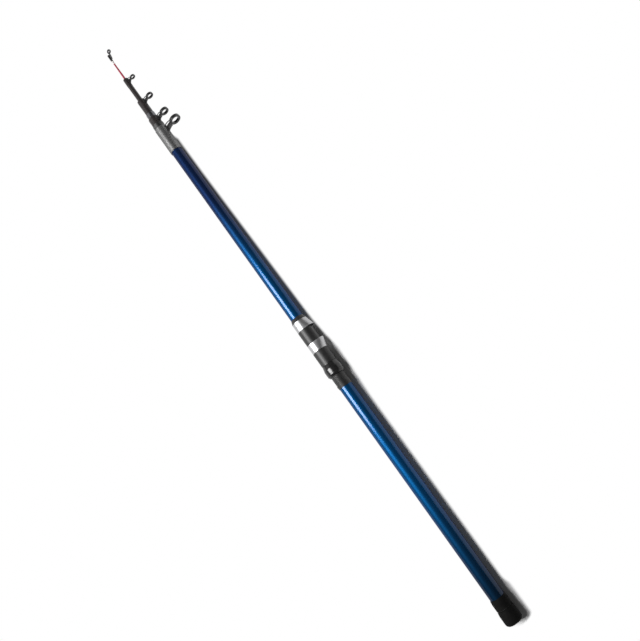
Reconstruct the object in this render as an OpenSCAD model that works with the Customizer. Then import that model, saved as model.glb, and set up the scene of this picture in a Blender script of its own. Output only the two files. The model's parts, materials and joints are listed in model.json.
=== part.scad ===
// Telescopic fishing rod, drawn closed. Its axis lies along X: the butt cap's flat end is at X = 0
// and the tip points along +X. The line guides and the reel seat's hoods stand on the -Y side.

/* [Butt section] */
// Length of the butt tube
butt_len = 976; // [600:1:1300]
// Outside diameter of the butt tube at its rear end
butt_base_d = 24; // [22:0.1:25]
// Length of the grey binding behind the mouth ring
binding_len = 54; // [48:1:120]
// Thickness of the grey binding
binding_t = 1.2; // [0.3:0.05:2]
// Length of the ring round the butt's mouth
mouth_ring_len = 9; // [4:0.5:12]
// Thickness of the ring round the butt's mouth
mouth_ring_t = 0.5; // [0.3:0.05:1.5]

/* [Hollow sections] */
// Outside diameters at the front ends of the butt, second, third and fourth sections
top_d = [20.2, 14.8, 11, 6.2]; // [4:0.1:22]
// Wall thicknesses of the butt, second, third and fourth sections
wall = [1.1, 0.8, 0.75, 0.7]; // [0.5:0.05:1.5]
// Lengths of the second, third, fourth and tip sections that stay inside when the rod is drawn out
overlap = [66, 57, 49, 38]; // [30:1:120]
// Radial clearance between a drawn-out section and the mouth that holds it
lock_gap = 0.25; // [0.15:0.05:0.5]

/* [Guide sleeves] */
// Lengths of the second and third sections' sleeves and the fourth's collar behind the guide's foot
sleeve_tail = [3.6, 20.8, 4.7]; // [0.2:0.1:30]
// Length of the fourth section's sleeve, which carries no guide
plain_sleeve_len = 37; // [10:0.5:80]
// Thicknesses of the sleeves on the second, third and fourth sections
sleeve_t = [2.3, 1.8, 1.4]; // [0.5:0.05:3]
// Length of the seating lip at the rear of each sleeve
lip_len = 1.5; // [0.8:0.1:3]
// Length of the bright ring in front of the second section's sleeve
front_ring_len = 11; // [5:0.5:25]
// Thickness of the bright ring in front of the second section's sleeve
front_ring_t = 0.75; // [0.4:0.05:2]
// Thickness of the collar in front of the fourth section's sleeve
collar_t = 1.65; // [0.8:0.05:3]

/* [Line guides] */
// Heights of the four ring centres above the rod's axis, from the butt forward
guide_h = [31.5, 24.2, 19.2, 13.9]; // [12:0.1:45]
// Outside diameters of the four guide frames
guide_d = [21, 16.8, 14, 10.4]; // [8:0.1:26]
// Diameters of the four line holes
hole_d = [12.8, 9.4, 7.4, 4.8]; // [3:0.1:18]
// Depths of the four guide frames along the line
guide_depth = [5, 4.2, 3.4, 2.6]; // [1.6:0.1:6]
// Distances of the four guide feet behind the front of what carries them
foot_front = [0.7, 0.6, 0.6, 1.8]; // [0.5:0.1:12]
// Lengths of the four guide feet
foot_len = [14, 10.5, 9.5, 11]; // [8:0.5:22]
// Widths of the four guide feet
foot_w = [9, 7.6, 6.4, 4.6]; // [3.5:0.1:12]
// Thicknesses of the four guide posts
post_t = [3.2, 2.8, 2.4, 1.9]; // [1:0.1:5]
// Diameters of the two braces of each guide
brace_d = [1.8, 1.6, 1.4, 1.1]; // [0.8:0.1:3]
// Thickness of the frame band round each ring
band_t = 1.1; // [0.6:0.05:1.3]
// Thickness of the guide feet
foot_t = 1; // [0.6:0.1:2]
// Lean of the rings towards the tip, in degrees
guide_lean = 6; // [0:1:30]

/* [Tip section] */
// Length of the tip rod that shows in front of the fourth section
tip_show = 62; // [40:1:120]
// Diameter of the tip rod where it leaves the fourth section
tip_root_d = 4; // [2.4:0.1:4.2]
// Diameter of the tip rod at its front end
tip_d = 2.3; // [1.2:0.1:2.6]
// Length of the tube that holds the tip ring
tip_tube_len = 14.5; // [8:0.5:25]
// Wall thickness of the tube that holds the tip ring
tip_tube_wall = 0.75; // [0.4:0.05:1.5]
// Length of the pale binding behind that tube
tip_binding_len = 7.5; // [4:0.5:25]
// Thickness of the pale binding
tip_binding_t = 0.25; // [0.15:0.05:0.6]
// Height of the tip ring's centre above the rod's axis
tip_ring_h = 5.5; // [5.4:0.1:9]
// Distance of the tip ring's centre in front of its tube
tip_ring_ahead = 5.5; // [1:0.1:6]
// Outside diameter of the tip ring's frame
tip_ring_d = 8; // [6.5:0.1:10]
// Diameter of the tip ring's line hole
tip_hole_d = 3.6; // [3:0.1:5]
// Depth of the tip ring's frame along the line
tip_ring_depth = 2.4; // [1.4:0.1:3]
// Thickness of the frame band round the tip ring
tip_band_t = 0.8; // [0.5:0.05:1]
// Diameter of the two struts of the tip ring
strut_d = 1.5; // [0.8:0.1:1.6]
// Lean of the tip ring towards the front, in degrees
tip_lean = 30; // [0:1:50]

/* [Reel seat] */
// Distance of the seat's rear end from the butt end
seat_x = 427; // [250:1:600]
// Outside diameter of the seat
seat_d = 27.2; // [24:0.1:30]
// Thickness of the barrel that slides over the seat's thread
barrel_t = 1.4; // [1.3:0.05:3]
// Thicknesses of the arbors at the rear and front ends of the seat
arbor_t = [0.25, 0.5]; // [0.2:0.05:1]
// Thickness of the seat's wall under its thread
thread_wall = 0.65; // [0.6:0.05:0.9]
// Pitch of the seat's thread
thread_pitch = 2.5; // [1.5:0.1:4]
// Depth of the seat's thread
thread_depth = 0.35; // [0.2:0.05:0.5]
// Length of each arbor
arbor_len = 20; // [10:1:24]
// Length of the trim in front of the seat
front_trim_len = 7; // [5:0.5:20]
// Length of the trim behind the seat
rear_trim_len = 6; // [2:0.5:12]
// Height of each trim's thin end above the tube
trim_edge = 0.6; // [0.4:0.1:1]
// Length of each hood
hood_len = 16.5; // [14:0.5:22]
// Wall thickness of the hoods
hood_t = 0.5; // [0.4:0.05:0.6]
// Distance by which the black parts stand proud of the hoods
hood_recess = 0.1; // [0.05:0.05:0.2]
// Height of each hood's mouth above the seat
hood_rise = 4.4; // [2.8:0.1:8]
// Radius of each hood's roof
roof_r = 11.5; // [10:0.1:12]
// Open length of the bed between the closed hoods
bed_len = 26.5; // [20:0.5:60]
// Depth of the reel foot's pocket in each hood
pocket_len = 12; // [8:0.5:13]
// Depth of the front pocket's floor below the bed
pocket_drop = 0.3; // [0.1:0.05:0.4]
// Width of the reel foot's notch in the sliding hood
notch_w = 12; // [8:0.5:14]
// Length of the barrel behind the sliding hood
barrel_len = 25.5; // [15:0.5:40]
// Width of the key that stops the sliding hood from turning
key_w = 3; // [2:0.1:5]
// Height of that key
key_h = 0.4; // [0.3:0.05:0.45]
// Travel of the sliding hood and its nut
hood_travel = 17; // [10:0.5:30]

/* [Lock nut] */
// Outside diameter of the lock nut
nut_d = 31; // [30:0.1:36]
// Length of the lock nut
nut_len = 21.5; // [20:0.5:36]
// Length of the slope at the front of the nut
nut_front_slope = 8; // [4:0.5:9]
// Length of the slope at the rear of the nut
nut_rear_slope = 3.5; // [2:0.5:5]
// Width of the groove round the nut
nut_groove_w = 1.4; // [0.8:0.1:2]
// Depth of the groove round the nut
nut_groove_depth = 0.6; // [0.3:0.1:1]
// Thickness of the thrust washer in front of the nut
thrust_t = 0.8; // [0.5:0.1:1.5]
// Length of the barrel's spigot inside the nut
spigot_len = 6; // [5:0.5:9]
// Wall thickness of the spigot
spigot_t = 0.6; // [0.5:0.05:0.8]
// Height of the snap bead on the spigot
bead_h = 0.3; // [0.2:0.05:0.5]
// Length of the snap bead
bead_len = 1.6; // [1:0.1:2]

/* [Butt cap] */
// Length of the rubber cap
cap_len = 25; // [18:0.5:40]
// Height of the rubber cap above the ferrule
cap_rise = 1; // [0.5:0.1:4]
// Rounding radius of the rubber cap's rear edge
cap_round = 6; // [2:0.5:7]
// Length of the slope at the front of the rubber cap
cap_slope = 6; // [3:0.5:10]
// Thickness of rubber behind the plug
cap_floor = 6; // [3:0.5:10]
// Width of the lip between the plug's thread and its head inside the rubber cap
plug_lip = 1.6; // [1:0.1:3]
// Length of the plug's thread
plug_len = 16; // [10:0.5:25]
// Pitch of the plug's thread
plug_pitch = 2; // [1.5:0.1:3]
// Depth of the plug's thread
plug_thread_depth = 0.5; // [0.3:0.05:0.8]
// Thickness of the pad that the sections rest on
pad_t = 4; // [2:0.5:8]
// Thickness of the sealing washer
washer_t = 0.8; // [0.5:0.1:2]
// Length of the threaded insert
insert_len = 18; // [12:0.5:19]
// Wall thickness of the threaded insert
insert_t = 1.85; // [1:0.05:2.5]
// Thickness of the ferrule
ferrule_t = 1.4; // [1:0.1:4]
// Length of the ferrule
ferrule_len = 16.5; // [15:0.5:40]
// Length of the slope at the front of the ferrule
ferrule_slope = 6; // [3:0.5:12]
// Height of the ferrule's thin front end above the tube
ferrule_edge = 0.7; // [0.4:0.1:1.2]

/* [Clearances] */
// Glue line between bonded pieces
bond = 0.05; // [0.02:0.01:0.08]
// Clearance between end faces of pieces that part
face_gap = 0.3; // [0.1:0.05:0.5]
// Radial clearance of running fits
run_gap = 0.1; // [0.05:0.01:0.1]

/* [Hidden] */
$fn = 96;

// Rounding of a ring's edges and half width of a post's neck, as shares of the ring's own sizes
edge_share = 0.45;
neck_share = 0.45;
// Spread of the braces, as a share of the foot's width
brace_share = 0.32;
// Angles at which the braces and the tip ring's struts meet their rings, from the lowest point
brace_turn = 62;
strut_turn = 55;

// Lengths of the sleeves and of the fourth section's collar
sleeve_len = [
    lip_len + sleeve_tail[0] + foot_len[1] + foot_front[1],
    lip_len + sleeve_tail[1] + foot_len[2] + foot_front[2],
    plain_sleeve_len
];
collar_len = sleeve_tail[2] + foot_len[3] + foot_front[3];

// Stations along the rod
butt_x = cap_len + washer_t + 2 * face_gap;
rest_x = butt_x + plug_len + pad_t + face_gap;
mouth_x = butt_x + butt_len;
second_sleeve_x = mouth_x + face_gap;
second_ring_x = second_sleeve_x + sleeve_len[0];
second_front_x = second_ring_x + front_ring_len;
third_sleeve_x = second_front_x + face_gap;
third_front_x = third_sleeve_x + sleeve_len[1];
fourth_sleeve_x = third_front_x + face_gap;
collar_x = fourth_sleeve_x + sleeve_len[2];
fourth_front_x = collar_x + collar_len;
tip_x = fourth_front_x + tip_show;
front_x = [mouth_x, second_front_x, third_front_x, fourth_front_x, tip_x];
top_r = concat(top_d / 2, [tip_d / 2]);

// How far each section draws out of the one behind it
travel = [for (i = [0:3]) front_x[i] - overlap[i] - rest_x];

// End of a section's even taper: its front end, or the place where the tip rod's thin end starts
function taper_end(i) = i == 4 ? [fourth_front_x, tip_root_d / 2] : [front_x[i], top_r[i]];

// Outside radius of a section at its base: it fills the mouth that holds it, less the lock clearance
function fit_r(i) = top_d[i - 1] / 2 - wall[i - 1] - lock_gap;
function slope(i) =
    (fit_r(i) - taper_end(i)[1]) / (taper_end(i)[0] - rest_x - overlap[i - 1]);
function base_r(i) = i == 0 ? butt_base_d / 2 : fit_r(i) + slope(i) * overlap[i - 1];

// Radii of the reel seat, from the outside inward to the tube that it fits
seat_r = seat_d / 2;
slide_r = seat_r - barrel_t;
thread_r = slide_r - run_gap;
seat_bore_r = thread_r - thread_wall;
seat_fit_r = [seat_bore_r - arbor_t[0], seat_bore_r - arbor_t[1]];
bed_h = slide_r;
hood_r = seat_r - hood_recess;
under_hood_r = hood_r - hood_t - bond;
roof_peak = seat_r + hood_rise;
roof_tilt = atan((roof_peak - hood_r + hood_t / 2) / hood_len);
spigot_r = slide_r + spigot_t;
bead_r = spigot_r + bead_h;

// Outside of a section as points of station and radius, with the rod closed
function outline(i) = i == 0
    ? [
        [butt_x, base_r(0)], [seat_x, seat_fit_r[0]], [seat_front_x, seat_fit_r[1]], [mouth_x, top_r[0]]
    ]
    : concat(
        [[rest_x, base_r(i)], taper_end(i)],
        i == 4 ? [[tip_x, top_r[4]]] : []
    );

// Outside radius of a section at a station
function outer_r(i, x) = lookup(x, outline(i));

// Stations of the reel seat, from its rear end forward
thread_x = seat_x + rear_trim_len;
nut_x = thread_x + hood_travel;
thrust_x = nut_x + nut_len + face_gap;
barrel_x = thrust_x + thrust_t;
hood_x = barrel_x + barrel_len;
hood_mouth_x = hood_x + hood_len;
shoulder_x = hood_mouth_x + face_gap;
front_mouth_x = hood_mouth_x + bed_len;
seat_front_x = front_mouth_x + hood_len;

// Radii of the butt cap, from the tube's rear end
ferrule_r = base_r(0) + ferrule_t;
cap_r = ferrule_r + cap_rise;
insert_r = base_r(0) - wall[0] - bond - insert_t;
plug_r = insert_r - run_gap;
head_r = plug_r + plug_lip;

// Radii of the sleeves, the bright ring and the collar
sleeve_x = [second_sleeve_x, third_sleeve_x, fourth_sleeve_x];
function sleeve_r(i) = outer_r(i, sleeve_x[i - 1]) + bond + sleeve_t[i - 1];
front_ring_r = outer_r(1, second_ring_x) + bond + front_ring_t;
collar_r = outer_r(3, collar_x) + bond + collar_t;

// Stations of the four guides' feet, and of the tip ring and its tube
guide_front = [mouth_x - mouth_ring_len, second_ring_x, third_front_x, fourth_front_x];
foot_x = guide_front - foot_front - foot_len / 2;
tip_tube_x = tip_x - tip_tube_len;
tip_ring_x = tip_x + tip_ring_ahead;

// Surfaces that the guide feet sit on: outside radius at a station
function foot_r(i, x) =
    i == 0 ? outer_r(0, x) + bond + binding_t : i < 3 ? sleeve_r(i) : collar_r;

// Stations of the four rings, which lean forward from their feet
guide_x = [for (i = [0:3]) foot_x[i] + (guide_h[i] - foot_r(i, foot_x[i])) * tan(guide_lean)];

echo(travel = travel, drawn_out = tip_x + travel[0] + travel[1] + travel[2] + travel[3]);
echo(guide_x = guide_x, hood_mouth_x = hood_mouth_x, front_mouth_x = front_mouth_x, bed_h = bed_h);
echo(nut_x = nut_x, seat_front_x = seat_front_x, overall = tip_ring_x, cap_r = cap_r);

// A solid of revolution about the rod's axis, from points of station and radius
module turned(points) {
    rotate([0, 90, 0])
        rotate_extrude()
            polygon([for (p = points) [p[1], p[0]]]);
}

// A plain ring about the rod's axis
module ring(x, len, inner_r, outer_r) {
    turned([[x, inner_r], [x, outer_r], [x + len, outer_r], [x + len, inner_r]]);
}

// A solid disc or rod about the rod's axis
module disc(x, len, r) {
    translate([x, 0, 0])
        rotate([0, 90, 0])
            cylinder(h = len, r = r);
}

// Turns what is drawn upright so that it stands on the guide side
module guide_side() {
    rotate([90, 0, 0])
        children();
}

// A tapered tube: section i
module section_tube(i) {
    outside = outline(i);
    last = len(outside) - 1;
    inside = [for (n = [last:-1:0]) outside[n] - [0, wall[i]]];
    turned(concat(outside, inside));
}

// A sleeve bonded round section i, with a straight outside
module bonded_ring(i, x, len, outside_r) {
    turned([
        [x, outer_r(i, x) + bond], [x, outside_r],
        [x + len, outside_r], [x + len, outer_r(i, x + len) + bond]
    ]);
}

// A guide sleeve on section i, whose lip seats on the mouth behind it
module guide_sleeve(i) {
    x0 = sleeve_x[i - 1];
    x1 = x0 + sleeve_len[i - 1];
    lip_r = max(top_r[i - 1], sleeve_r(i));
    turned([
        [x0, outer_r(i, x0) + bond], [x0, lip_r], [x0 + lip_len, lip_r],
        [x0 + lip_len, sleeve_r(i)], [x1, sleeve_r(i)], [x1, outer_r(i, x1) + bond]
    ]);
}

// Points of a quarter round from one angle to the next, about a centre
function quarter_round(centre, r, from) =
    [for (turn = [0:15:90]) centre + r * [cos(from + turn), sin(from + turn)]];

// A ring with rounded edges about Z, between two radii
module rounded_ring(inner_r, outer_r, depth) {
    edge_r = edge_share * min(outer_r - inner_r, depth);
    in_r = inner_r + edge_r;
    out_r = outer_r - edge_r;
    half = depth / 2 - edge_r;
    rotate_extrude()
        polygon(concat(
            quarter_round([out_r, half], edge_r, 0), quarter_round([in_r, half], edge_r, 90),
            quarter_round([in_r, -half], edge_r, 180), quarter_round([out_r, -half], edge_r, 270)
        ));
}

// Places a ring upright on the rod, leaning towards the tip
module at_ring(x, h, lean) {
    translate([x, 0, h])
        rotate([0, 90 + lean, 0])
            children();
}

// A straight round bar between two points
module bar(p, q, d) {
    v = q - p;
    len = norm(v);
    translate(p)
        rotate([0, acos(v[2] / len), atan2(v[1], v[0])])
            cylinder(h = len, d = d, $fn = 32);
}

// A point on the rim of a leaning ring, counted in degrees from its lowest point
function rim_point(x, h, r, lean, turn) =
    [x - r * cos(turn) * sin(lean), r * sin(turn), h - r * cos(turn) * cos(lean)];

// The frame of guide i: foot, post, two braces and the band that holds the ring
module guide_frame(i) {
    x = guide_x[i];
    h = guide_h[i];
    r = guide_d[i] / 2;
    x0 = foot_x[i] - foot_len[i] / 2;
    x1 = foot_x[i] + foot_len[i] / 2;
    floor_r = foot_r(i, x1);
    neck = neck_share * r;
    neck_drop = r - band_t / 2;
    low = [x - neck_drop * sin(guide_lean), h - neck_drop * cos(guide_lean)];
    brace_r = r - band_t / 2;
    brace_end = [x1 - brace_d[i], brace_share * foot_w[i], floor_r + foot_t / 2];
    guide_side()
        difference() {
            union() {
                intersection() {
                    turned([
                        [x0, 0], [x0, foot_r(i, x0) + foot_t],
                        [x1, foot_r(i, x1) + foot_t], [x1, 0]
                    ]);
                    translate([x0, -foot_w[i] / 2, 0])
                        cube([foot_len[i], foot_w[i], h]);
                }
                translate([0, post_t[i] / 2, 0])
                    rotate([90, 0, 0])
                        linear_extrude(post_t[i])
                            polygon([
                                [x0 + foot_t, floor_r], [foot_x[i] + foot_len[i] / 4, floor_r],
                                [low[0] + neck, low[1]], [low[0] - neck, low[1]]
                            ]);
                for (side = [-1, 1])
                    bar(
                        rim_point(x, h, brace_r, guide_lean, side * brace_turn),
                        [brace_end[0], side * brace_end[1], brace_end[2]],
                        brace_d[i]
                    );
                at_ring(x, h, guide_lean)
                    rounded_ring(r - band_t, r, guide_depth[i]);
            }
            turned([
                [x0 - foot_t, 0], [x0 - foot_t, foot_r(i, x0 - foot_t) + bond],
                [x1 + foot_t, foot_r(i, x1 + foot_t) + bond], [x1 + foot_t, 0]
            ]);
            at_ring(x, h, guide_lean)
                cylinder(h = 2 * r, r = r - band_t, center = true);
        }
}

// The ring inside the frame of guide i
module guide_ring(i) {
    guide_side()
        at_ring(guide_x[i], guide_h[i], guide_lean)
            rounded_ring(hole_d[i] / 2, guide_d[i] / 2 - band_t - bond, guide_depth[i]);
}

// A cylinder along a hood's roof, drawn for a hood whose mouth is at X = 0
module roof_bar(r) {
    axis_h = roof_peak - roof_r / cos(roof_tilt);
    translate([0, 0, axis_h])
        rotate([0, 90 + roof_tilt, 0])
            cylinder(h = 4 * hood_len, r = r, center = true);
}

// A steel hood with its mouth at X = 0, running along +X and rising on the +Z side
module hood() {
    difference() {
        intersection() {
            union() {
                disc(0, hood_len, hood_r);
                roof_bar(roof_r);
            }
            disc(0, hood_len - bond, 2 * roof_peak);
        }
        disc(-hood_len, 3 * hood_len, under_hood_r + bond);
        roof_bar(roof_r - hood_t);
    }
}

// Points of a grooved thread between two stations, along its crests and roots
function thread_points(x0, x1, r, depth, pitch) =
    let (turns = floor((x1 - x0) / pitch))
    [for (n = [0:turns - 1], p = [[0, 0], [0.25, -1], [0.5, -1], [0.75, 0]])
        [x0 + (n + p[0]) * pitch, r + p[1] * depth]];

module butt_tube() {
    color("midnightblue")
        section_tube(0);
}

module mouth_ring() {
    x = mouth_x - mouth_ring_len;
    color("dimgray")
        turned([
            [x, outer_r(0, x) + bond], [x, outer_r(0, x) + mouth_ring_t],
            [mouth_x, outer_r(0, mouth_x) + mouth_ring_t], [mouth_x, outer_r(0, mouth_x) + bond]
        ]);
}

module butt_guide_binding() {
    x1 = mouth_x - mouth_ring_len;
    x0 = x1 - binding_len;
    color("silver")
        turned([
            [x0, outer_r(0, x0) + bond], [x0, outer_r(0, x0) + bond + binding_t],
            [x1, outer_r(0, x1) + bond + binding_t], [x1, outer_r(0, x1) + bond]
        ]);
}

module butt_guide_frame() {
    color("#262626")
        guide_frame(0);
}

module butt_guide_ring() {
    color("black")
        guide_ring(0);
}

module butt_ferrule() {
    x1 = butt_x + ferrule_len;
    x_slope = x1 - ferrule_slope;
    color("#1c1c1c")
        turned([
            [butt_x, outer_r(0, butt_x) + bond], [butt_x, ferrule_r], [x_slope, ferrule_r],
            [x1, outer_r(0, x1) + ferrule_edge], [x1, outer_r(0, x1) + bond]
        ]);
}

module threaded_insert() {
    x1 = butt_x + insert_len;
    color("dimgray")
        turned([
            [butt_x, insert_r], [butt_x, outer_r(0, butt_x) - wall[0] - bond],
            [x1, outer_r(0, x1) - wall[0] - bond], [x1, insert_r]
        ]);
}

module seat_body() {
    color("#202020")
        difference() {
            turned(concat(
                [[thread_x, seat_bore_r]],
                thread_points(thread_x, shoulder_x, thread_r, thread_depth, thread_pitch),
                [
                    [shoulder_x, thread_r], [shoulder_x, seat_r], [front_mouth_x, seat_r],
                    [front_mouth_x, under_hood_r], [seat_front_x, under_hood_r],
                    [seat_front_x, seat_bore_r]
                ]
            ));
            guide_side() {
                translate([hood_mouth_x - pocket_len, -seat_r, bed_h])
                    cube([bed_len + 2 * pocket_len, seat_d, seat_d]);
                translate([front_mouth_x + face_gap, -seat_r, bed_h - pocket_drop])
                    cube([pocket_len - face_gap, seat_d, seat_d]);
            }
            translate([thread_x - rear_trim_len, thread_r - key_h - run_gap, -(key_w / 2 + run_gap)])
                cube([shoulder_x - seat_x, seat_r, key_w + 2 * run_gap]);
        }
}

module seat_front_trim() {
    x1 = seat_front_x + front_trim_len;
    color("#202020")
        turned([
            [seat_front_x, outer_r(0, seat_front_x) + bond], [seat_front_x, seat_r],
            [x1, outer_r(0, x1) + trim_edge], [x1, outer_r(0, x1) + bond]
        ]);
}

module seat_rear_trim() {
    color("#202020")
        turned([
            [seat_x, outer_r(0, seat_x) + bond], [seat_x, outer_r(0, seat_x) + trim_edge],
            [thread_x, thread_r + trim_edge], [thread_x, outer_r(0, thread_x) + bond]
        ]);
}

module seat_front_arbor() {
    color("tan")
        bonded_ring(0, seat_front_x - arbor_len, arbor_len, seat_bore_r - bond);
}

module seat_rear_arbor() {
    color("tan")
        bonded_ring(0, thread_x, arbor_len, seat_bore_r - bond);
}

module front_hood() {
    color("gainsboro")
        guide_side()
            translate([front_mouth_x, 0, 0])
                hood();
}

module hood_carriage() {
    spigot_x = barrel_x - spigot_len;
    color("#202020")
        union() {
            difference() {
                turned([
                    [spigot_x, slide_r], [spigot_x, bead_r], [spigot_x + bead_len, bead_r],
                    [spigot_x + bead_len, spigot_r], [barrel_x, spigot_r], [barrel_x, seat_r],
                    [hood_x, seat_r], [hood_x, under_hood_r], [hood_mouth_x, under_hood_r],
                    [hood_mouth_x, slide_r]
                ]);
                guide_side()
                    translate([hood_mouth_x - pocket_len, -notch_w / 2, 0])
                        cube([2 * pocket_len, notch_w, seat_d]);
            }
            translate([barrel_x, thread_r - key_h, -key_w / 2])
                cube([barrel_len, key_h + run_gap + hood_t, key_w]);
        }
}

module sliding_hood() {
    color("gainsboro")
        guide_side()
            translate([hood_mouth_x, 0, 0])
                mirror([1, 0, 0])
                    hood();
}

module thrust_washer() {
    color("silver")
        ring(thrust_x, thrust_t, spigot_r + bond, seat_r);
}

module lock_nut() {
    x1 = nut_x + nut_len;
    nut_r = nut_d / 2;
    groove_x = nut_x + nut_rear_slope + nut_groove_w;
    bead_room_x = barrel_x - spigot_len - face_gap;
    lip_x = bead_room_x + bead_len + 2 * face_gap;
    color("#161616")
        turned([
            [nut_x, slide_r], [nut_x, seat_r], [nut_x + nut_rear_slope, nut_r],
            [groove_x, nut_r], [groove_x, nut_r - nut_groove_depth],
            [groove_x + nut_groove_w, nut_r - nut_groove_depth], [groove_x + nut_groove_w, nut_r],
            [x1 - nut_front_slope, nut_r], [x1, seat_r], [x1, spigot_r + run_gap],
            [lip_x, spigot_r + run_gap], [lip_x, bead_r + run_gap],
            [bead_room_x, bead_r + run_gap], [bead_room_x, slide_r]
        ]);
}

module sealing_washer() {
    color("#303030")
        ring(cap_len + face_gap, washer_t, plug_r + run_gap, outer_r(0, butt_x));
}

module screw_plug() {
    x1 = butt_x + plug_len;
    color("#2a2a2a")
        turned(concat(
            [[cap_floor + bond, 0], [cap_floor + bond, head_r], [cap_len, head_r], [cap_len, plug_r]],
            [[butt_x, plug_r]],
            thread_points(butt_x + plug_pitch, x1, plug_r, plug_thread_depth, plug_pitch),
            [[x1, plug_r - plug_thread_depth], [x1, 0]]
        ));
}

module rubber_cap() {
    edge = quarter_round([cap_round, cap_r - cap_round], cap_round, 90);
    color("#101010")
        turned(concat(
            [[0, 0], [cap_floor, 0], [cap_floor, head_r + bond], [cap_len, head_r + bond]],
            [[cap_len, ferrule_r], [cap_len - cap_slope, cap_r]],
            edge
        ));
}

module section_pad() {
    color("#3a3a3a")
        disc(butt_x + plug_len + bond, pad_t - bond, plug_r - plug_thread_depth);
}

module second_tube() {
    color("#26262a")
        section_tube(1);
}

module second_sleeve() {
    color("#2b2828")
        guide_sleeve(1);
}

module second_front_ring() {
    color("gray")
        bonded_ring(1, second_ring_x, front_ring_len, front_ring_r);
}

module second_guide_frame() {
    color("#262626")
        guide_frame(1);
}

module second_guide_ring() {
    color("black")
        guide_ring(1);
}

module third_tube() {
    color("#26262a")
        section_tube(2);
}

module third_sleeve() {
    color("#2b2424")
        guide_sleeve(2);
}

module third_guide_frame() {
    color("#262626")
        guide_frame(2);
}

module third_guide_ring() {
    color("black")
        guide_ring(2);
}

module fourth_tube() {
    color("#26262a")
        section_tube(3);
}

module fourth_sleeve() {
    color("#31322d")
        guide_sleeve(3);
}

module fourth_collar() {
    color("#2f2a26")
        bonded_ring(3, collar_x, collar_len, collar_r);
}

module fourth_guide_frame() {
    color("#262626")
        guide_frame(3);
}

module fourth_guide_ring() {
    color("black")
        guide_ring(3);
}

module tip_rod() {
    color("crimson")
        turned(concat([[rest_x, 0]], outline(4), [[tip_x, 0]]));
}

module tip_binding() {
    x0 = tip_tube_x - tip_binding_len;
    color("mistyrose")
        turned([
            [x0, outer_r(4, x0) + bond], [x0, outer_r(4, x0) + bond + tip_binding_t],
            [tip_tube_x, outer_r(4, tip_tube_x) + bond + tip_binding_t],
            [tip_tube_x, outer_r(4, tip_tube_x) + bond]
        ]);
}

module tip_top_tube() {
    r = outer_r(4, tip_tube_x) + bond;
    color("#202020")
        ring(tip_tube_x, tip_tube_len, r, r + tip_tube_wall);
}

module tip_top_frame() {
    r = tip_ring_d / 2;
    tube_r = outer_r(4, tip_tube_x) + bond + tip_tube_wall;
    foot_h = tube_r + strut_d / 2;
    color("#202020")
        guide_side()
            difference() {
                union() {
                    for (side = [-1, 1])
                        bar(
                            rim_point(
                                tip_ring_x, tip_ring_h, r - tip_band_t / 2, tip_lean, side * strut_turn
                            ),
                            [tip_tube_x + tip_tube_len / 3, side * strut_d / 3, foot_h],
                            strut_d
                        );
                    at_ring(tip_ring_x, tip_ring_h, tip_lean)
                        rounded_ring(r - tip_band_t, r, tip_ring_depth);
                }
                disc(tip_tube_x - tip_tube_len, 3 * tip_tube_len, tube_r + bond);
                at_ring(tip_ring_x, tip_ring_h, tip_lean)
                    cylinder(h = 2 * r, r = r - tip_band_t, center = true);
            }
}

module tip_top_ring() {
    color("black")
        guide_side()
            at_ring(tip_ring_x, tip_ring_h, tip_lean)
                rounded_ring(tip_hole_d / 2, tip_ring_d / 2 - tip_band_t - bond, tip_ring_depth);
}

butt_tube();
mouth_ring();
butt_guide_binding();
butt_guide_frame();
butt_guide_ring();
butt_ferrule();
threaded_insert();
seat_body();
seat_front_trim();
seat_rear_trim();
seat_front_arbor();
seat_rear_arbor();
front_hood();
hood_carriage();
sliding_hood();
thrust_washer();
lock_nut();
sealing_washer();
screw_plug();
rubber_cap();
section_pad();
second_tube();
second_sleeve();
second_front_ring();
second_guide_frame();
second_guide_ring();
third_tube();
third_sleeve();
third_guide_frame();
third_guide_ring();
fourth_tube();
fourth_sleeve();
fourth_collar();
fourth_guide_frame();
fourth_guide_ring();
tip_rod();
tip_binding();
tip_top_tube();
tip_top_frame();
tip_top_ring();
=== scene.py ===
# Dresses the closed telescopic fishing rod: fine shapes, finishes, studio light and camera
import json
import math
import bmesh
import bpy
from mathutils import Matrix, Vector


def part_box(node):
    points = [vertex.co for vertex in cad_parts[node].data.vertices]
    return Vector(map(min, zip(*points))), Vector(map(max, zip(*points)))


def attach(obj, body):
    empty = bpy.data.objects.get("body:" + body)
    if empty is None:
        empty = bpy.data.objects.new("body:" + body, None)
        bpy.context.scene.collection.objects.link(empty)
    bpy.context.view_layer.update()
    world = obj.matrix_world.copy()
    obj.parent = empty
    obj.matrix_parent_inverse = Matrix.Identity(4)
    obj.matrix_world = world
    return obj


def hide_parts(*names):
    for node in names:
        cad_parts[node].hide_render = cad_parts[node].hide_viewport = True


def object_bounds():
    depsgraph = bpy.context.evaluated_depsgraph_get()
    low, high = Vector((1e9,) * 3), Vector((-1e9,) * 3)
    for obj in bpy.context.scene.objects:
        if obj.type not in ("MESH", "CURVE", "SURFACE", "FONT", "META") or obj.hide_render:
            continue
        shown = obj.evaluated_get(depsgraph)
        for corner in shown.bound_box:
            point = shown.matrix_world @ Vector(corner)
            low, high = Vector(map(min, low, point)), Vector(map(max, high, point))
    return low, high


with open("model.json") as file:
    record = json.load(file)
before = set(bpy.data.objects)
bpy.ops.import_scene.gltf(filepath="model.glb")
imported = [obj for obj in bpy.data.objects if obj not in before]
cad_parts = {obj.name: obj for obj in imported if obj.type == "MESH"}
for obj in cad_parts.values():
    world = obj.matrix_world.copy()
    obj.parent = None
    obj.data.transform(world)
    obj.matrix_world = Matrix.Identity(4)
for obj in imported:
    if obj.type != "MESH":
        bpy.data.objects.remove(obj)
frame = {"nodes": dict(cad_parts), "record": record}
cad_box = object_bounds()

MM = 0.001
TAU = 2 * math.pi

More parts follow.
